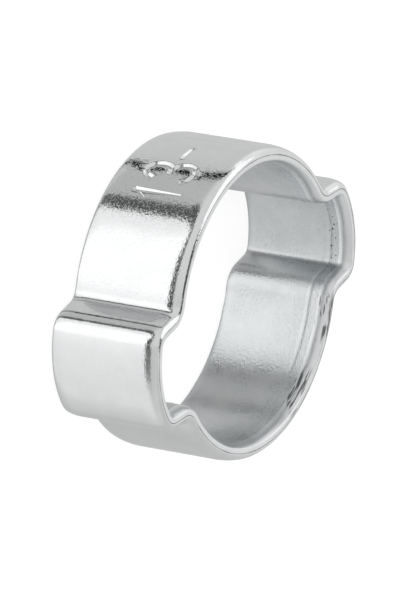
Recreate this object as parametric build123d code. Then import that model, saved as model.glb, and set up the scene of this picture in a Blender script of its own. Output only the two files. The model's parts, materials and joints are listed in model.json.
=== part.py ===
"""Two-ear hose clamp: one closed steel band, cut from tube, with two ears pressed out of it.

The band lies flat on one of its edges. +Z is the axis of the bore, the ears point along +X and
-X, and the origin is the centre of the bore in the plane of the lower edge. Millimetres.
"""

import os
from math import asin, cos, degrees, radians, sin, sqrt

from build123d import *

# The open ring, before it is crimped on a hose.
BORE_DIAMETER = 15.0
WALL = 0.95
BAND_WIDTH = 6.5

# Each ear, seen along the axis of the bore.
EAR_HEIGHT = 2.2  # how far the top stands above the outside of the ring
EAR_WIDTH = 6.15  # across the two corner bends, outside
EAR_DRAFT = 6  # how far each side wall leans, in degrees; the ear is wider at its foot
EAR_TOP_RADIUS = 5.8  # the top is slightly bowed, outside
EAR_INNER_CORNER_RADIUS = 0.4  # where the top meets a side wall, inside
EAR_FOOT_RADIUS = 0.6  # where a side wall runs out into the ring, outside

# The edges of the band, seen in its cross-section.
SHOULDER_LENGTH = 0.7  # the outer face first falls away gently towards the edge
SHOULDER_DROP = 0.1
NOSE_LENGTH = 0.3  # and is then rounded over
NOSE_DROP = 0.35
FLARE_LENGTH = 0.6  # the inner face curves open towards the edge
FLARE_DEPTH = 0.2

# Worked out from the sizes above. The centreline runs midway through the wall.
HALF_WALL = WALL / 2
RING_RADIUS = BORE_DIAMETER / 2 + HALF_WALL
TOP_RADIUS = EAR_TOP_RADIUS - HALF_WALL
TOP_CENTRE_X = RING_RADIUS + HALF_WALL + EAR_HEIGHT - EAR_TOP_RADIUS
CORNER_RADIUS = EAR_INNER_CORNER_RADIUS + HALF_WALL
FOOT_RADIUS = EAR_FOOT_RADIUS + HALF_WALL
CORNER_Y = EAR_WIDTH / 2 - HALF_WALL - CORNER_RADIUS


def quarter_centreline():
    """The centreline from the middle of an ear's top to the middle of the ring's side."""
    top_end = degrees(asin(CORNER_Y / (TOP_RADIUS - CORNER_RADIUS)))
    corner_x = TOP_CENTRE_X + (TOP_RADIUS - CORNER_RADIUS) * cos(radians(top_end))
    lean = radians(EAR_DRAFT)
    outward = Vector(sin(lean), cos(lean))
    down = Vector(-cos(lean), sin(lean))
    wall_top = Vector(corner_x, CORNER_Y) + outward * CORNER_RADIUS

    # The wall runs down until the foot's arc touches the ring.
    offset = wall_top + outward * FOOT_RADIUS
    inward = offset.dot(down)
    wall_length = -inward - sqrt(inward**2 - offset.dot(offset) + (RING_RADIUS + FOOT_RADIUS) ** 2)
    foot_centre = offset + down * wall_length
    ring_start = degrees(asin(foot_centre.Y / (RING_RADIUS + FOOT_RADIUS)))

    top = CenterArc((TOP_CENTRE_X, 0), TOP_RADIUS, 0, top_end)
    corner = CenterArc((corner_x, CORNER_Y), CORNER_RADIUS, top_end, 90 - EAR_DRAFT - top_end)
    side = Line(wall_top, wall_top + down * wall_length)
    foot = CenterArc(foot_centre, FOOT_RADIUS, 270 - EAR_DRAFT, ring_start + EAR_DRAFT - 90)
    ring = CenterArc((0, 0), RING_RADIUS, ring_start, 90 - ring_start)
    return [top, corner, side, foot, ring]


def centreline():
    """The whole closed centreline: one quarter mirrored in both middle planes."""
    quarter = quarter_centreline()
    half = quarter + [edge.mirror(Plane.YZ) for edge in quarter]
    return Wire(half + [edge.mirror(Plane.XZ) for edge in half])


def band_section():
    """The cross-section of the band in the YZ plane, where the ring crosses +Y."""
    inner_y = BORE_DIAMETER / 2
    outer_y = inner_y + WALL
    middle = BAND_WIDTH / 2
    shoulder_start = (outer_y, NOSE_LENGTH + SHOULDER_LENGTH)
    shoulder_end = (outer_y - SHOULDER_DROP, NOSE_LENGTH)
    nose_end = (outer_y - SHOULDER_DROP - NOSE_DROP, 0)
    flare_start = (inner_y, FLARE_LENGTH)
    flare_end = (inner_y + FLARE_DEPTH, 0)

    outside = Line((outer_y, middle), shoulder_start)
    shoulder = TangentArc(shoulder_start, shoulder_end, tangent=(0, -1))
    nose = TangentArc(shoulder_end, nose_end, tangent=shoulder % 1)
    edge = Line(nose_end, flare_end)
    flare = TangentArc(flare_start, flare_end, tangent=(0, -1))
    inside = Line(flare_start, (inner_y, middle))
    lower = [outside, shoulder, nose, edge, flare, inside]
    upper = [line.mirror(Plane.XZ).translate((0, BAND_WIDTH, 0)) for line in lower]
    return Plane.YZ * Face(Wire(lower + upper))


def clamp_band():
    """The band: its cross-section swept once round the centreline."""
    return sweep(band_section(), path=centreline())


os.makedirs("parts", exist_ok=True)
export_step(clamp_band(), "parts/clamp_band.step")
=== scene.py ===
"""The looks of a double ear hose clamp: a steel band with bright zinc plating.

The plating is glossy on the outer face, satin on the inner face and scratched on the cut edges,
and plain size numbers are stamped in the outer face. Lengths are in millimetres up to the point
where a mesh, a texture or an object is placed, and in metres from there on.
"""

import json
from math import asin, atan2, ceil, cos, pi, radians, sin, sqrt

import bpy
import numpy as np
from mathutils import Matrix, Vector


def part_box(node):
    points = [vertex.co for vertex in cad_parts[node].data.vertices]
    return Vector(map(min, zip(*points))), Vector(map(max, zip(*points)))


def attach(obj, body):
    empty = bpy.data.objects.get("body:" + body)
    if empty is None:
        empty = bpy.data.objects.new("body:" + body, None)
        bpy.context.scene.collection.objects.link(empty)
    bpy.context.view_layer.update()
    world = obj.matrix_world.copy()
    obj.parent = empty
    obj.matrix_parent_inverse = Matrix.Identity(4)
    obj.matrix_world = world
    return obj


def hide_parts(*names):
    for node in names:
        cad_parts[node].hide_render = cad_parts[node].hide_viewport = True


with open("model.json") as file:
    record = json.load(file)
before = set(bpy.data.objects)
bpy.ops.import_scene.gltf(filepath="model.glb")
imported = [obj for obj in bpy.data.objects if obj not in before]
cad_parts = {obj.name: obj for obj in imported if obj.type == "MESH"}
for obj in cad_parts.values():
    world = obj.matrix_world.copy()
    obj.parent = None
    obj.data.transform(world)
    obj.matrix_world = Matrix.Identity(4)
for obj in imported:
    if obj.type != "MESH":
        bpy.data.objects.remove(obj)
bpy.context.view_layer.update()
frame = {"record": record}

MM = 0.001
NODE = "clamp_band"

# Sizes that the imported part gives.
LOW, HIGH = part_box(NODE)
HOSE_SEAT = frame["record"]["mounts"][0]
BORE_RADIUS = HOSE_SEAT["dims"]["r_mm"]
BAND_WIDTH = (HIGH.z - LOW.z) / MM
WALL = HIGH.y / MM - BORE_RADIUS
EAR_REACH = HIGH.x / MM

# The ear, as in the part's source.
EAR_WIDTH = 6.15
EAR_TOP_RADIUS = 5.8
EAR_DRAFT = 6
EAR_INNER_CORNER_RADIUS = 0.4
EAR_FOOT_RADIUS = 0.6

# The edges of the band, as in the part's source.
SHOULDER_LENGTH = 0.7
SHOULDER_DROP = 0.1
NOSE_LENGTH = 0.3
NOSE_DROP = 0.35
FLARE_LENGTH = 0.6
FLARE_DEPTH = 0.2
EDGE_SOFTNESS = 0.06  # where the flare meets the end face
SHADE_LINE_WIDTH = 0.05  # a dark line of painted shade, between the rolled outer edge and the cut end face

# How finely the band's mesh is divided: round the band, and up the plain inner face.
TEXT_STEP = 0.03
RING_STEP = 0.14
BEND_STEP = 0.09
INNER_STEP = 0.24

# The rows of the mesh on each stretch of the cross-section.
SHOULDER_ROWS = 7
NOSE_ROWS = 7
LIP_ROWS = 6
FLARE_ROWS = 9
RIDGE_ROWS = 13
UNRIDGED_ROWS = 3
FACE_ROWS = 3  # on the outer face, above the numbers and again below them
FACE_PARTS = 3  # that the numbers' height is divided into where there are no numbers
INSIDE_FLARE = 1.15  # where the first row past the flare lies, in lengths of the flare
RIDGE_REACH = 1.2  # how far the ridge's rows reach from its middle, in its half widths

# The line that the cutting tool leaves inside, near the upper edge.
RIDGE_FROM_EDGE = 1.25
RIDGE_HALF_WIDTH = 0.2
RIDGE_HEIGHT = 0.016

# The stamped numbers: their middle is near +Y, and they read towards +X with their tops down.
TEXT_MIDDLE = radians(91.2)
TEXT_HALF_LENGTH = 4.6
TEXT_HALF_HEIGHT = 0.54  # of the finely divided stretch of the outer face, in digit heights
DIGIT_HEIGHT = 2.9
BOW_POINTS = 28
STROKE_HALF_WIDTH = 0.2
STROKE_DEPTH = 0.135
STROKE_LIP = 0.08  # the lip's height, in depths of the stroke
LIP_WIDTH = 0.8  # in half widths of the stroke
GROOVE_FLOOR = 0.04  # how far the groove's bottom is rounded, in half widths of the stroke
WORN_BITE = 0.4  # how deep the worn second half of the numbers is next to the first half
STAMPED_FROM = 0.3  # how deep the stamp's own finish begins, in depths of the stroke

# The plating's textures.
CLOUD_SIZE = 1.3
CLOUD_DETAIL = 3.0
GRAIN_SQUEEZE = (1, 1, 2.2)  # makes the grain shorter up the band than round it
SPECK_SIZE = 0.1
SPECK_RANGE = (0.46, 0.6)

# Inside the ears the colour is darkened as painted shade of the ears' hollows, from the first to
# the second distance outside the bore.
EAR_SHADE_FADE = (-0.2, 0.8)
EAR_PAINTED_SHADE = 0.88

# The pits in the plating inside the ears, along the tool's line.
PIT_HEIGHT = 5.5
PIT_BAND = 0.28
PIT_SPACING = 0.3
PIT_RADIUS = 0.06
PIT_OUTSIDE_BORE = 1
PIT_SHADE = 0.2

# Where the rim is scratched: the middle and the half length of each stretch, in degrees.
SCRATCHED = [(-31, 11), (-64, 13)]
SCRATCH_WIDTH = 0.12
SCRATCH_STRETCH = 9
SCRATCH_RANGE = (0.53, 0.58)
SCRATCH_FULL = 0.6  # the share of a stretch's half length that is fully scratched
SCRATCH_SHADE = 0.22

# The finishes, in the order of the band's materials: dark and light colour, lowest and highest
# roughness, and the size and depth of the grain and of the waves.
FINISHES = {
    "outer": dict(
        colours=((0.853, 0.868, 0.873), (0.893, 0.904, 0.908)), roughness=(0.04, 0.06),
        grain=(0.16, 0.005), waves=(0.6, 0.002), speck=0.17,
    ),
    # The inner colours are darker than the outer ones: partly the satin plating, partly painted
    # shade of the band's inside.
    "inner": dict(
        colours=((0.665, 0.69, 0.7), (0.77, 0.785, 0.79)), roughness=(0.25, 0.31),
        grain=(0.15, 0.015), waves=(0.9, 0.006), pitted_with_ear_shade=True,
    ),
    "edge": dict(
        colours=((0.87, 0.885, 0.89), (0.935, 0.95, 0.953)), roughness=(0.28, 0.36),
        grain=(0.12, 0.006), waves=(0.7, 0.006), scratched=True,
    ),
    "stamped": dict(
        colours=((0.86, 0.865, 0.87), (0.92, 0.92, 0.92)), roughness=(0.07, 0.11),
        grain=(0.12, 0.004), waves=(0.7, 0.002),
    ),
    # painted shade: a near-black line along the edge where the nose meets the cut end face
    "burr": dict(
        colours=((0.08, 0.08, 0.085), (0.6, 0.6, 0.6)), roughness=(0.3, 0.4),
        grain=(0.12, 0.004), waves=(0.7, 0.002),
    ),
}
KINDS = list(FINISHES)


# ---------------------------------------------------------------- the band's centreline

def arc_points(centre, radius, start, end, step, outward=1):
    """Points and outward normals along an arc, without its last point."""
    count = max(3, ceil(abs(end - start) * radius / step))
    angles = np.linspace(start, end, count, endpoint=False)
    normal = np.column_stack([np.cos(angles), np.sin(angles)])
    return np.asarray(centre) + radius * normal, outward * normal


def line_points(start, end, normal, step):
    """Points and normals along a straight line, without its last point."""
    start, end = np.asarray(start), np.asarray(end)
    count = max(2, ceil(np.linalg.norm(end - start) / step))
    share = np.linspace(0, 1, count, endpoint=False)[:, None]
    return start + share * (end - start), np.tile(normal, (count, 1))


def ear_runs(side):
    """One ear from its lower foot to its upper foot; side is 1 for +X and -1 for -X."""
    half_wall = WALL / 2
    ring = BORE_RADIUS + half_wall
    top = EAR_TOP_RADIUS - half_wall
    top_x = EAR_REACH - EAR_TOP_RADIUS
    corner = EAR_INNER_CORNER_RADIUS + half_wall
    foot = EAR_FOOT_RADIUS + half_wall
    lean = radians(EAR_DRAFT)
    corner_y = EAR_WIDTH / 2 - half_wall - corner
    corner_angle = asin(corner_y / (top - corner))
    corner_x = top_x + (top - corner) * cos(corner_angle)
    normal = np.array([sin(lean), cos(lean)])
    down = np.array([-cos(lean), sin(lean)])
    wall_top = np.array([corner_x, corner_y]) + corner * normal
    out = wall_top + foot * normal
    along = -(out @ down) - sqrt((out @ down) ** 2 - out @ out + (ring + foot) ** 2)
    foot_x, foot_y = out + along * down
    wall_foot = wall_top + along * down
    foot_angle = atan2(foot_y, foot_x)
    right = pi / 2
    flip = np.array([1, -1])
    runs = [
        arc_points((foot_x, -foot_y), foot, pi - foot_angle, right + lean, BEND_STEP, -1),
        line_points(wall_foot * flip, wall_top * flip, normal * flip, RING_STEP),
        arc_points((corner_x, -corner_y), corner, lean - right, -corner_angle, BEND_STEP),
        arc_points((top_x, 0), top, -corner_angle, corner_angle, RING_STEP),
        arc_points((corner_x, corner_y), corner, corner_angle, right - lean, BEND_STEP),
        line_points(wall_top, wall_foot, normal, RING_STEP),
        arc_points((foot_x, foot_y), foot, -right - lean, foot_angle - pi, BEND_STEP, -1),
    ]
    turned = [(points * side, normals * side) for points, normals in runs]
    return turned, foot_angle


def centreline():
    """Points and outward normals round the whole band, from the foot of the ear at +X."""
    ring = BORE_RADIUS + WALL / 2
    text = TEXT_HALF_LENGTH / (BORE_RADIUS + WALL)
    right_ear, foot_angle = ear_runs(1)
    left_ear, _ = ear_runs(-1)
    text_start, text_end = TEXT_MIDDLE - text, TEXT_MIDDLE + text
    runs = [
        *right_ear,
        arc_points((0, 0), ring, foot_angle, text_start, RING_STEP),
        arc_points((0, 0), ring, text_start, text_end, TEXT_STEP),
        arc_points((0, 0), ring, text_end, pi - foot_angle, RING_STEP),
        *left_ear,
        arc_points((0, 0), ring, pi + foot_angle, 2 * pi - foot_angle, RING_STEP),
    ]
    points, normals = zip(*runs)
    return np.vstack(points), np.vstack(normals)


# ---------------------------------------------------------------- the band's cross-section

def tangent_arc(start, direction, end, count):
    """The arc that leaves start in a direction and reaches end.

    It gives the arc's points but the last one, and the direction in which it arrives.
    """
    start, end = np.asarray(start, float), np.asarray(end, float)
    direction = np.asarray(direction, float) / np.linalg.norm(direction)
    chord = end - start
    normal = np.array([-direction[1], direction[0]])
    if normal @ chord < 0:
        normal = -normal
    radius = chord @ chord / (2 * (chord @ normal))
    centre = start + radius * normal
    turn = 2 * asin(np.linalg.norm(chord) / (2 * radius))
    angles = np.linspace(0, turn, count, endpoint=False)[:, None]
    points = centre - radius * np.cos(angles) * normal + radius * np.sin(angles) * direction
    return points, direction * cos(turn) + normal * sin(turn)


def lower_edge(ridged):
    """Half of the cross-section, from the outer face round the lower edge to the inner face.

    Each point is (distance out from the inner face, height), with the finish of what follows it.
    The ridged one is the upper edge's: it has the rows of the tool's line and a cut flare.
    """
    shoulder_start = (WALL, NOSE_LENGTH + SHOULDER_LENGTH)
    shoulder_end = (WALL - SHOULDER_DROP, NOSE_LENGTH)
    nose_end = np.array([WALL - SHOULDER_DROP - NOSE_DROP, 0.0])
    shoulder, leaving = tangent_arc(shoulder_start, (0, -1), shoulder_end, SHOULDER_ROWS)
    nose, _ = tangent_arc(shoulder_end, leaving, nose_end, NOSE_ROWS)

    flare_end = np.array([FLARE_DEPTH, 0.0])
    flare, _ = tangent_arc((0.0, FLARE_LENGTH), (0, -1), flare_end, FLARE_ROWS)
    last_step = flare_end - flare[-1]
    before = flare_end + (EDGE_SOFTNESS, 0)
    after = flare[-1] + last_step * (1 - EDGE_SOFTNESS / np.linalg.norm(last_step))
    share = np.linspace(0, 1, LIP_ROWS)[:, None]
    lip = (1 - share) ** 2 * before + 2 * share * (1 - share) * flare_end + share**2 * after

    reach = np.linspace(-RIDGE_REACH, RIDGE_REACH, RIDGE_ROWS if ridged else UNRIDGED_ROWS)
    inside = [FLARE_LENGTH * INSIDE_FLARE, *(RIDGE_FROM_EDGE + RIDGE_HALF_WIDTH * reach)]
    stretches = [
        ("outer", [*shoulder, *nose]),
        # a near-black line of painted shade where the nose meets the cut end face
        ("burr", [nose_end]),
        ("edge", [nose_end - (SHADE_LINE_WIDTH, 0), *lip]),
        ("edge" if ridged else "inner", flare[::-1]),
        ("inner", [(0, z) for z in inside]),
    ]
    return [(*point, finish) for finish, points in stretches for point in points]


def section():
    """The closed cross-section, once round: outer face, lower edge, inner face, upper edge.

    It gives each row's distance out from the inner face, its height and its finish, and whether
    only the stamped stretch of the band has that row.
    """
    lower = lower_edge(ridged=False)
    mirrored = lower_edge(ridged=True)[::-1]
    finishes = [finish for *_, finish in mirrored[1:]] + ["outer"]
    upper = [(out, BAND_WIDTH - z, finish) for (out, z, _), finish in zip(mirrored, finishes)]

    middle, text_half = BAND_WIDTH / 2, TEXT_HALF_HEIGHT * DIGIT_HEIGHT
    text_top, text_bottom = middle + text_half, middle - text_half
    count = ceil(2 * text_half / TEXT_STEP)
    shared = count // FACE_PARTS
    fine = np.linspace(text_top, text_bottom, count + 1)
    face = [(z, False) for z in np.linspace(upper[-1][1], text_top, FACE_ROWS + 1)[1:]]
    face += [(z, i % shared != 0) for i, z in enumerate(fine) if 0 < i < count]
    face += [(z, False) for z in np.linspace(text_bottom, lower[0][1], FACE_ROWS + 1)[:-1]]

    inner_low, inner_high = lower[-1][1], upper[0][1]
    count = ceil((inner_high - inner_low) / INNER_STEP)
    inside = np.linspace(inner_low, inner_high, count + 1)[1:-1]
    rows = [(WALL, z, "outer") for z, _ in face] + lower
    rows += [(0.0, z, "inner") for z in inside] + upper
    out, height, finish = zip(*rows)
    extra = [only for _, only in face] + [False] * (len(rows) - len(face))
    return np.array(out), np.array(height), finish, np.array(extra)


# ---------------------------------------------------------------- stamped numbers

def stroke(*points, head=1.0, tail=1.0):
    """A line of the stamp, with how strongly it is pressed in at its first and last point."""
    return np.array(points, float), head, tail


def bow(centre, radii, start, end, head=1.0, tail=1.0):
    """Part of an ellipse, between two angles in degrees."""
    angles = np.radians(np.linspace(start, end, BOW_POINTS))
    points = np.column_stack([np.cos(angles), np.sin(angles)])
    return np.array(centre) + np.array(radii) * points, head, tail


# The shapes of the glyphs are in digit heights, and a digit runs from -0.5 to 0.5 in height.

def one(x):
    """The strokes of a 1 whose upright is at x."""
    return [
        stroke((x, 0.46), (x, -0.48), head=0.7, tail=0.3),
        stroke((x, 0.44), (x - 0.17, 0.2), head=0.3, tail=0.2),
    ]


def three(x):
    return [
        bow((x - 0.02, 0.24), (0.2, 0.25), 165, -90, head=0.8),
        bow((x - 0.02, -0.25), (0.24, 0.25), 90, -160, tail=0.7),
    ]


def dash(x):
    return [stroke((x - 0.17, 0), (x + 0.17, 0), head=0.75, tail=0.75)]


def five(x):
    return [
        stroke((x + 0.2, 0.5), (x - 0.16, 0.5)),
        stroke((x - 0.16, 0.5), (x - 0.19, 0.06)),
        bow((x - 0.02, -0.19), (0.24, 0.3), 135, -145),
    ]


def number_strokes():
    """The size range, in millimetres along the band and up from its middle.

    Each stroke comes with how strongly it is pressed in; the second half is worn.
    """
    deep = [(*glyph, 1.0) for glyph in one(-1.18) + three(-0.63) + dash(0)]
    worn = [(*glyph, WORN_BITE) for glyph in one(0.69) + five(1.23)]
    return [(points * DIGIT_HEIGHT, head, tail, bite) for points, head, tail, bite in deep + worn]


def stamped_depth(places):
    """How deep the outer face is pressed in: a V-shaped groove with a low lip beside it."""
    groove, lip = np.zeros(len(places)), np.zeros(len(places))
    for points, head, tail, bite in number_strokes():
        press = np.linspace(head, tail, len(points))
        for a, b, press_a, press_b in zip(points[:-1], points[1:], press[:-1], press[1:]):
            run = b - a
            share = np.clip((places - a) @ run / (run @ run), 0, 1)
            off = places - a - share[:, None] * run
            here = press_a + share * (press_b - press_a)
            gap = np.hypot(off[:, 0], off[:, 1]) / (STROKE_HALF_WIDTH * here)
            wall = np.clip(1 + GROOVE_FLOOR - np.hypot(gap, GROOVE_FLOOR), 0, 1)
            beside = np.sin(np.clip(gap - 1, 0, LIP_WIDTH) / LIP_WIDTH * pi) ** 2
            groove = np.maximum(groove, bite * here * wall)
            lip = np.maximum(lip, bite * here * beside)
    return STROKE_DEPTH * (groove - STROKE_LIP * np.where(groove > 0, 0, lip))


# ---------------------------------------------------------------- the mesh

def band_mesh():
    """The cross-section at every point of the centreline, with the numbers and the tool's line."""
    points, normals = centreline()
    out, height, finish, extra = section()
    columns, rows = len(points), len(out)
    offset = np.tile(out - WALL / 2, (columns, 1))

    # The numbers, on the outer face only.
    angle = np.arctan2(points[:, 1], points[:, 0])
    along = (TEXT_MIDDLE - angle) * (BORE_RADIUS + WALL)
    outer_rows = np.isclose(out, WALL)
    stamped = np.abs(along) < TEXT_HALF_LENGTH + 1e-6
    stamped &= np.hypot(points[:, 0], points[:, 1]) < BORE_RADIUS + WALL
    u, w = np.meshgrid(along[stamped], BAND_WIDTH / 2 - height[outer_rows], indexing="ij")
    depth = stamped_depth(np.column_stack([u.ravel(), w.ravel()])).reshape(u.shape)
    offset[np.ix_(stamped, outer_rows)] -= depth
    pressed = np.zeros((columns, rows), bool)
    pressed[np.ix_(stamped, outer_rows)] = depth > STAMPED_FROM * STROKE_DEPTH

    # The cutting tool's line inside.
    inner_rows = np.isclose(out, 0)
    from_line = np.abs(BAND_WIDTH - height[inner_rows] - RIDGE_FROM_EDGE)
    ridge = np.clip(1 - from_line / RIDGE_HALF_WIDTH, 0, 1)
    offset[:, inner_rows] -= RIDGE_HEIGHT * ridge**2 * (3 - 2 * ridge)

    place = np.empty((columns, rows, 3))
    place[:, :, :2] = points[:, None, :] + offset[:, :, None] * normals[:, None, :]
    place[:, :, 2] = height
    present = stamped[:, None] | ~extra[None, :]
    index = np.full((columns, rows), -1)
    index[present] = np.arange(present.sum())

    # Between two rows that go all the way round, the stamped columns have more rows.
    common = np.flatnonzero(~extra)
    faces, face_kind = [], []
    for i in range(columns):
        j = (i + 1) % columns
        fine = stamped[i] and stamped[j]
        for first, last in zip(common, np.roll(common, -1)):
            run = np.arange(first, last + 1) if last > first else np.array([first, last])
            here, there = index[i, run], index[j, run]
            if fine:
                faces += zip(here, here[1:], there[1:], there)
                deep = pressed[i, run[:-1]] & pressed[j, run[:-1]]
                face_kind += [KINDS.index("stamped" if low else finish[first]) for low in deep]
            else:
                faces.append((*here[here >= 0], *there[there >= 0][::-1]))
                face_kind.append(KINDS.index(finish[first]))

    mesh = bpy.data.meshes.new("band")
    corners = [[int(v) for v in face] for face in faces]
    mesh.from_pydata((place[present] * MM).tolist(), [], corners)
    mesh.polygons.foreach_set("use_smooth", np.ones(len(faces), bool))
    mesh.polygons.foreach_set("material_index", np.array(face_kind, np.int32))
    mesh.update()
    return mesh


# ---------------------------------------------------------------- shader nodes

class Nodes:
    """The nodes of a material or of the world; each method adds some and gives an output."""

    def __init__(self, tree):
        self.tree = tree

    def add(self, kind, output, inputs, **settings):
        """A node of a kind; each input is set to a socket or to a constant."""
        node = self.tree.nodes.new("ShaderNode" + kind)
        for name, value in settings.items():
            setattr(node, name, value)
        for name, value in inputs.items():
            if isinstance(value, bpy.types.NodeSocket):
                self.tree.links.new(value, node.inputs[name])
            else:
                node.inputs[name].default_value = value
        return node.outputs[output]

    def split(self, vector):
        """The X, Y and Z of a vector."""
        node = self.tree.nodes.new("ShaderNodeSeparateXYZ")
        self.tree.links.new(vector, node.inputs[0])
        return node.outputs

    def math(self, operation, *values):
        return self.add("Math", 0, dict(enumerate(values)), operation=operation)

    def vector_math(self, operation, output, *values):
        return self.add("VectorMath", output, dict(enumerate(values)), operation=operation)

    def noise(self, coordinates, size_mm, detail=1.0):
        """A noise texture whose grain is about size_mm."""
        inputs = {"Vector": coordinates, "Scale": 1 / (size_mm * MM), "Detail": detail}
        return self.add("TexNoise", "Fac", inputs)

    def remap(self, value, low, high, from_low=0.3, from_high=0.7):
        """The value, carried over from one range to another; the first suits a noise."""
        inputs = {"From Min": from_low, "From Max": from_high, "To Min": low, "To Max": high}
        return self.add("MapRange", "Result", {"Value": value, **inputs})

    def bump(self, height, depth_mm, on_top_of=None):
        inputs = {"Strength": 1.0, "Distance": depth_mm * MM, "Height": height}
        if on_top_of is not None:
            inputs["Normal"] = on_top_of
        return self.add("Bump", "Normal", inputs)

    def mix(self, factor, dark, light):
        inputs = {"A": (*dark, 1), "B": (*light, 1), "Factor": factor}
        return self.add("Mix", "Result", inputs, data_type="RGBA")

    def darken(self, colour, mask, level):
        """The colour, multiplied by level where the mask is 1."""
        inputs = {"A": colour, "B": (level, level, level, 1), "Factor": mask}
        return self.add("Mix", "Result", inputs, data_type="RGBA", blend_type="MULTIPLY")

    def both(self, *masks):
        """Where all the masks are 1."""
        result, *rest = masks
        for mask in rest:
            result = self.math("MULTIPLY", result, mask)
        return result

    def above(self, value, limit, soft):
        """1 where value is above the limit, 0 below it, with a soft step between."""
        over = self.math("SUBTRACT", value, limit)
        inputs = {"Value": over, "From Min": -soft, "From Max": soft}
        return self.add("MapRange", "Result", inputs, interpolation_type="SMOOTHSTEP")

    def apart(self, value, other):
        """How far apart two values are."""
        return self.math("ABSOLUTE", self.math("SUBTRACT", value, other))

    def lay(self, below, mask, level):
        """A panel with this brightness laid over what is below it."""
        kept = self.math("MULTIPLY", below, self.math("SUBTRACT", 1.0, mask))
        return self.math("ADD", kept, self.math("MULTIPLY", mask, level))

    def line(self, value, points):
        """A smooth line through (value, result) points, level beyond its ends."""
        xs, ys = zip(*points)
        low_x, high_x, low_y, high_y = min(xs), max(xs), min(ys), max(ys)
        node = self.tree.nodes.new("ShaderNodeFloatCurve")
        curve = node.mapping.curves[0]
        while len(curve.points) < len(points):
            curve.points.new(0.5, 0.5)
        for point, (x, y) in zip(curve.points, points):
            point.location = ((x - low_x) / (high_x - low_x), (y - low_y) / (high_y - low_y))
        node.mapping.update()
        self.tree.links.new(self.remap(value, 0, 1, low_x, high_x), node.inputs["Value"])
        return self.remap(node.outputs[0], low_y, high_y, 0, 1)


# ---------------------------------------------------------------- materials

def new_material(name):
    """A material, with its nodes and its shader."""
    material = bpy.data.materials.new(name)
    material.use_nodes = True
    tree = material.node_tree
    return material, Nodes(tree), tree.nodes["Principled BSDF"]


def pits(nodes, place, from_middle, z):
    """Where the small dark pits lie: inside the ears, in a narrow band."""
    inputs = {"Vector": place, "Scale": 1 / (PIT_SPACING * MM)}
    from_pit = nodes.add("TexVoronoi", "Distance", inputs)
    return nodes.both(
        nodes.math("LESS_THAN", from_pit, PIT_RADIUS / PIT_SPACING),
        nodes.math("LESS_THAN", nodes.apart(z, PIT_HEIGHT * MM), PIT_BAND * MM),
        nodes.math("GREATER_THAN", from_middle, (BORE_RADIUS + PIT_OUTSIDE_BORE) * MM),
    )


def scratches(nodes, x, y, z):
    """Where short dark scratches lie: along the band, on the stretches that are scratched."""
    turn = nodes.math("ARCTAN2", y, x)
    along = nodes.math("MULTIPLY", turn, BORE_RADIUS * MM / SCRATCH_STRETCH)
    radius = nodes.vector_math("LENGTH", "Value", nodes.add("CombineXYZ", 0, {"X": x, "Y": y}))
    unrolled = nodes.add("CombineXYZ", 0, {"X": along, "Y": radius, "Z": z})
    streaks = nodes.remap(nodes.noise(unrolled, SCRATCH_WIDTH), 0, 1, *SCRATCH_RANGE)
    near = 0.0
    for middle, half in SCRATCHED:
        off = nodes.apart(turn, radians(middle))
        here = nodes.remap(off, 1, 0, radians(half * SCRATCH_FULL), radians(half))
        near = nodes.math("MAXIMUM", near, here)
    return nodes.math("MULTIPLY", streaks, near)


def zinc(kind, colours, roughness, grain, waves, speck=0.0, pitted_with_ear_shade=False, scratched=False):
    """Zinc plating: a metal with fine grain, long soft waves and a slightly uneven shine.

    Speck is how much roughness its small specks add. Pitted plating also has painted shade inside
    the ears.
    """
    material, nodes, shader = new_material("zinc_" + kind)
    place = nodes.add("TexCoord", "Object", {})
    x, y, z = nodes.split(place)
    cloud = nodes.noise(place, CLOUD_SIZE, CLOUD_DETAIL)

    colour = nodes.mix(nodes.remap(cloud, 0, 1), *colours)
    if pitted_with_ear_shade:
        from_middle = nodes.math("ABSOLUTE", x)
        fade_start, fade_end = [(BORE_RADIUS + distance) * MM for distance in EAR_SHADE_FADE]
        # painted shade: the colour is darkened inside the ears, fading in from near the bore
        # outwards
        ear_shade = nodes.remap(from_middle, 0, 1, fade_start, fade_end)
        colour = nodes.darken(colour, ear_shade, EAR_PAINTED_SHADE)
        colour = nodes.darken(colour, pits(nodes, place, from_middle, z), PIT_SHADE)
    if scratched:
        colour = nodes.darken(colour, scratches(nodes, x, y, z), SCRATCH_SHADE)

    shine = nodes.remap(cloud, *roughness)
    if speck:
        specks = nodes.remap(nodes.noise(place, SPECK_SIZE), 0, speck, *SPECK_RANGE)
        shine = nodes.math("ADD", shine, specks)

    grain_size, grain_depth = grain
    wave_size, wave_depth = waves
    squeezed = nodes.vector_math("MULTIPLY", 0, place, GRAIN_SQUEEZE)
    waved = nodes.bump(nodes.noise(place, wave_size), wave_depth)
    grained = nodes.bump(nodes.noise(squeezed, grain_size), grain_depth, on_top_of=waved)

    nodes.tree.links.new(colour, shader.inputs["Base Color"])
    nodes.tree.links.new(shine, shader.inputs["Roughness"])
    nodes.tree.links.new(grained, shader.inputs["Normal"])
    shader.inputs["Metallic"].default_value = 1.0
    return material


# ---------------------------------------------------------------- the camera

# The camera that fits the photo; it is rolled because the clamp, upright in the photo, lies here.
# Angles are in degrees, and an azimuth of 0 looks along +Y.
VIEW_AZIMUTH = -120.05
VIEW_ELEVATION = 29.75
VIEW_ROLL = 99.57
VIEW_DISTANCE = 412.2
AIM = Vector((-1.471, 0.501, 3.832))
SENSOR = 36  # on the picture's long side
FOCAL_LENGTH = 468.3
CLIP_START = 10
CLIP_END = 20000


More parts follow.
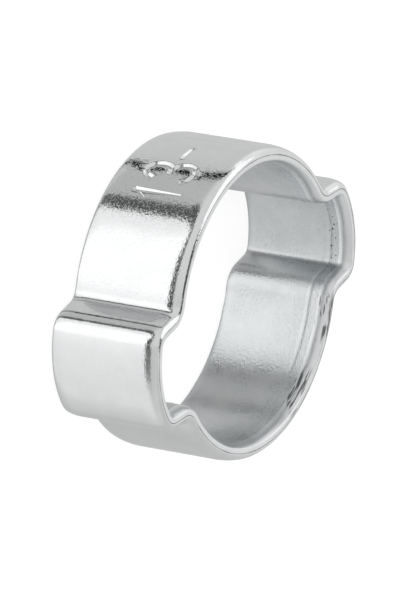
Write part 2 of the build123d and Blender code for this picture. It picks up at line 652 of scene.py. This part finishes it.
def add_camera():
    data = bpy.data.cameras.new("camera")
    data.lens = FOCAL_LENGTH
    data.sensor_width = SENSOR
    data.clip_start = CLIP_START * MM
    data.clip_end = CLIP_END * MM
    camera = bpy.data.objects.new("camera", data)
    bpy.context.scene.collection.objects.link(camera)
    azimuth, elevation = radians(VIEW_AZIMUTH), radians(VIEW_ELEVATION)
    back = Vector((sin(azimuth) * cos(elevation), -cos(azimuth) * cos(elevation), sin(elevation)))
    level = back.to_track_quat("Z", "Y").to_matrix()
    turned = level @ Matrix.Rotation(radians(VIEW_ROLL), 3, "Z")
    camera.matrix_world = Matrix.Translation((AIM + VIEW_DISTANCE * back) * MM) @ turned.to_4x4()
    bpy.context.scene.camera = camera


# ---------------------------------------------------------------- the studio

# What the metal mirrors is a light tent. Places in it are azimuths and elevations in degrees;
# azimuths start at FIRST_AZIMUTH. Each list of pairs is a line through the tent, from one of the
# two to the other, or how bright something is along its azimuths.
FIRST_AZIMUTH = -45.0

# The sides of the tent, below and above a soft horizon.
HORIZON = -8.0
LOW_SIDE_LEVEL = [
    (-45, 0.55), (-20, 0.6), (20, 0.61), (54, 0.58), (62, 0.5), (90, 0.5), (110, 0.5), (180, 0.6),
    (220, 0.8), (240, 0.71), (250, 0.64), (270, 0.55), (315, 0.53),
]
HIGH_SIDE_LEVEL = [
    (-45, 0.68), (-25, 0.74), (5, 0.74), (22, 0.83), (32, 0.82), (45, 0.66), (70, 0.68),
    (125, 0.71), (150, 0.68), (180, 0.58), (210, 0.61), (240, 0.64), (265, 0.56), (295, 0.57),
    (315, 0.68),
]

# A dark frame, and the white panel in it.
FRAME_LEFT = [(-90, 40), (-60, 62), (-50, 73.5), (-40, 81.5), (-30, 86.3), (-15, 87), (0, 90)]
FRAME_TOP = [
    (80, -9), (88, -8), (92, -4.5), (100, -0.5), (112, 5), (118, 5), (125, 3), (135, 0.5),
    (150, -1), (160, 0), (170, 4), (190, 5), (210, 0),
]
FRAME_RIGHT = 205.0
FRAME_LEVEL = [
    (85, 0.1), (100, 0.1), (110, 0.2), (118, 0.22), (130, 0.12), (145, 0.06), (156, 0.06),
    (164, 0.14), (180, 0.2), (200, 0.5),
]
PANEL_LEFT = [
    (-90, 60), (-60, 76), (-50, 86), (-40, 93), (-30, 97.4), (-15, 102), (-6, 106), (0, 120),
]
PANEL_TOP = [
    (96, -12), (106, -5), (112, -4), (120, -6), (127, -9), (140, -11.5), (154, -13), (180, -13),
    (210, -8),
]
PANEL_RIGHT = 260.0
PANEL_LEVEL = [
    (95, 0.92), (108, 0.98), (118, 1.16), (150, 1.16), (160, 1.02), (170, 0.94), (180, 0.885),
    (190, 0.855), (210, 0.81), (230, 0.79), (240, 0.71), (250, 0.64), (270, 0.55),
]

# A narrow dark seam, which leans over near its top.
SEAM = [
    (-60, 10), (-48, 30), (-43, 39), (-36, 48.5), (-29.5, 55), (-23, 57.5), (-12, 59.3),
    (-2, 58.5), (8, 55), (18, 50),
]
SEAM_HALF_WIDTH = 3.6
SEAM_TOP = 14.0
SEAM_LEVEL = 0.01

# The lamp's white opening near the top of the tent, with a bright slit that runs down from it.
LAMP_LEFT = -31.0
LAMP_RIGHT = 45.0
LAMP_BOTTOM = [
    (-31, 31), (-25, 35), (-20, 37), (-10, 39), (-2, 37.5), (4, 33), (12, 30.5), (24, 29),
    (46, 29),
]
LAMP_TOP = [(-31, 32), (-25, 43), (-20, 53), (-15, 60), (0, 63), (20, 66), (40, 64)]
LAMP_LEVEL = 1.12
SLIT = [(-4, 42), (4, 42), (12, 41), (19, 38), (28, 33), (38, 25)]
SLIT_HALF_WIDTH = 4.5
SLIT_BOTTOM = 4.0
SLIT_TOP = 38.0
SLIT_LEVEL = 1.1

# A dark flag beside the lamp.
FLAG_LEFT = [(36, -30), (50, -34), (60, -36), (80, -38)]
FLAG_RIGHT = [(36, -30), (44, -26), (53, -21), (60, -14), (65, 0), (69, 24), (80, 30)]
FLAG_BOTTOM = 37.0
FLAG_TOP = 76.0
FLAG_LEVEL = 0.05

WHITE = (1, 1, 1, 1)


def add_world():
    """Plain white to the camera, and the light tent to the metal."""
    world = bpy.data.worlds.new("studio")
    bpy.context.scene.world = world
    world.use_nodes = True
    world.node_tree.nodes.clear()
    nodes = Nodes(world.node_tree)
    x, y, z = nodes.split(nodes.add("TexCoord", "Generated", {}))
    turn = nodes.math("DEGREES", nodes.math("ARCTAN2", y, x))
    azimuth = nodes.math("WRAP", turn, FIRST_AZIMUTH + 360, FIRST_AZIMUTH)
    elevation = nodes.math("DEGREES", nodes.math("ARCSINE", z))
    above, both, line = nodes.above, nodes.both, nodes.line

    upper = above(elevation, HORIZON, soft=5.0)
    tent = nodes.lay(line(azimuth, LOW_SIDE_LEVEL), upper, line(azimuth, HIGH_SIDE_LEVEL))

    framed = both(
        above(azimuth, line(elevation, FRAME_LEFT), soft=0.6),
        above(line(azimuth, FRAME_TOP), elevation, soft=1.0),
        above(FRAME_RIGHT, azimuth, soft=12.0),
    )
    tent = nodes.lay(tent, framed, line(azimuth, FRAME_LEVEL))

    panel = both(
        above(azimuth, line(elevation, PANEL_LEFT), soft=0.6),
        above(line(azimuth, PANEL_TOP), elevation, soft=1.0),
        above(PANEL_RIGHT, azimuth, soft=8.0),
    )
    tent = nodes.lay(tent, panel, line(azimuth, PANEL_LEVEL))

    seam = both(
        above(SEAM_HALF_WIDTH, nodes.apart(azimuth, line(elevation, SEAM)), soft=0.5),
        above(SEAM_TOP, elevation, soft=1.5),
    )
    tent = nodes.lay(tent, seam, SEAM_LEVEL)

    lamp = both(
        above(elevation, line(azimuth, LAMP_BOTTOM), soft=0.8),
        above(line(azimuth, LAMP_TOP), elevation, soft=1.5),
        above(LAMP_RIGHT, azimuth, soft=2.0),
        above(azimuth, LAMP_LEFT, soft=1.0),
    )
    tent = nodes.lay(tent, lamp, LAMP_LEVEL)

    slit = both(
        above(SLIT_HALF_WIDTH, nodes.apart(azimuth, line(elevation, SLIT)), soft=1.0),
        above(elevation, SLIT_BOTTOM, soft=2.0),
        above(SLIT_TOP, elevation, soft=2.0),
    )
    tent = nodes.lay(tent, slit, SLIT_LEVEL)

    flag = both(
        above(azimuth, line(elevation, FLAG_LEFT), soft=1.0),
        above(line(elevation, FLAG_RIGHT), azimuth, soft=1.0),
        above(elevation, FLAG_BOTTOM, soft=3.0),
        above(FLAG_TOP, elevation, soft=3.0),
    )
    tent = nodes.lay(tent, flag, FLAG_LEVEL)

    lit = nodes.add("Background", 0, {"Color": tent})
    seen = nodes.add("Background", 0, {"Color": WHITE})
    camera_ray = nodes.add("LightPath", "Is Camera Ray", {})
    shown = nodes.add("MixShader", 0, {"Fac": camera_ray, 1: lit, 2: seen})
    output = world.node_tree.nodes.new("ShaderNodeOutputWorld")
    world.node_tree.links.new(shown, output.inputs["Surface"])


FLOOR_HALF = 2000
FLOOR_GLOW = 0.8
FLOOR_COLOUR = (0.36, 0.36, 0.36, 1)


def add_floor():
    """A pale floor that stays white in the picture and keeps a soft shadow."""
    mesh = bpy.data.meshes.new("floor")
    half = FLOOR_HALF * MM
    corners = [(-half, -half, 0), (half, -half, 0), (half, half, 0), (-half, half, 0)]
    mesh.from_pydata(corners, [], [(0, 1, 2, 3)])
    floor = bpy.data.objects.new("floor", mesh)
    bpy.context.scene.collection.objects.link(floor)
    material, _, shader = new_material("floor")
    shader.inputs["Base Color"].default_value = FLOOR_COLOUR
    shader.inputs["Roughness"].default_value = 1.0
    shader.inputs["Specular IOR Level"].default_value = 0.0
    shader.inputs["Emission Color"].default_value = WHITE
    shader.inputs["Emission Strength"].default_value = FLOOR_GLOW
    mesh.materials.append(material)
    floor.visible_glossy = False


OVERHEAD_PLACE = Vector((-60, 40, 500))
OVERHEAD_SIZE = 300
OVERHEAD_WATTS = 0.35


def add_overhead_lamp():
    """A soft round lamp that points at the clamp and isn't mirrored in the metal."""
    data = bpy.data.lights.new("overhead", "AREA")
    data.shape = "DISK"
    data.size = OVERHEAD_SIZE * MM
    data.energy = OVERHEAD_WATTS
    lamp = bpy.data.objects.new("overhead", data)
    bpy.context.scene.collection.objects.link(lamp)
    lamp.location = OVERHEAD_PLACE * MM
    lamp.rotation_euler = OVERHEAD_PLACE.to_track_quat("Z", "Y").to_euler()
    lamp.visible_glossy = False


# ---------------------------------------------------------------- the scene

bpy.context.scene.view_settings.view_transform = "Standard"
add_camera()
add_world()
add_floor()
add_overhead_lamp()

band = bpy.data.objects.new("band", band_mesh())
bpy.context.scene.collection.objects.link(band)
for kind, finish in FINISHES.items():
    band.data.materials.append(zinc(kind, **finish))
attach(band, "root")
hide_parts(NODE)
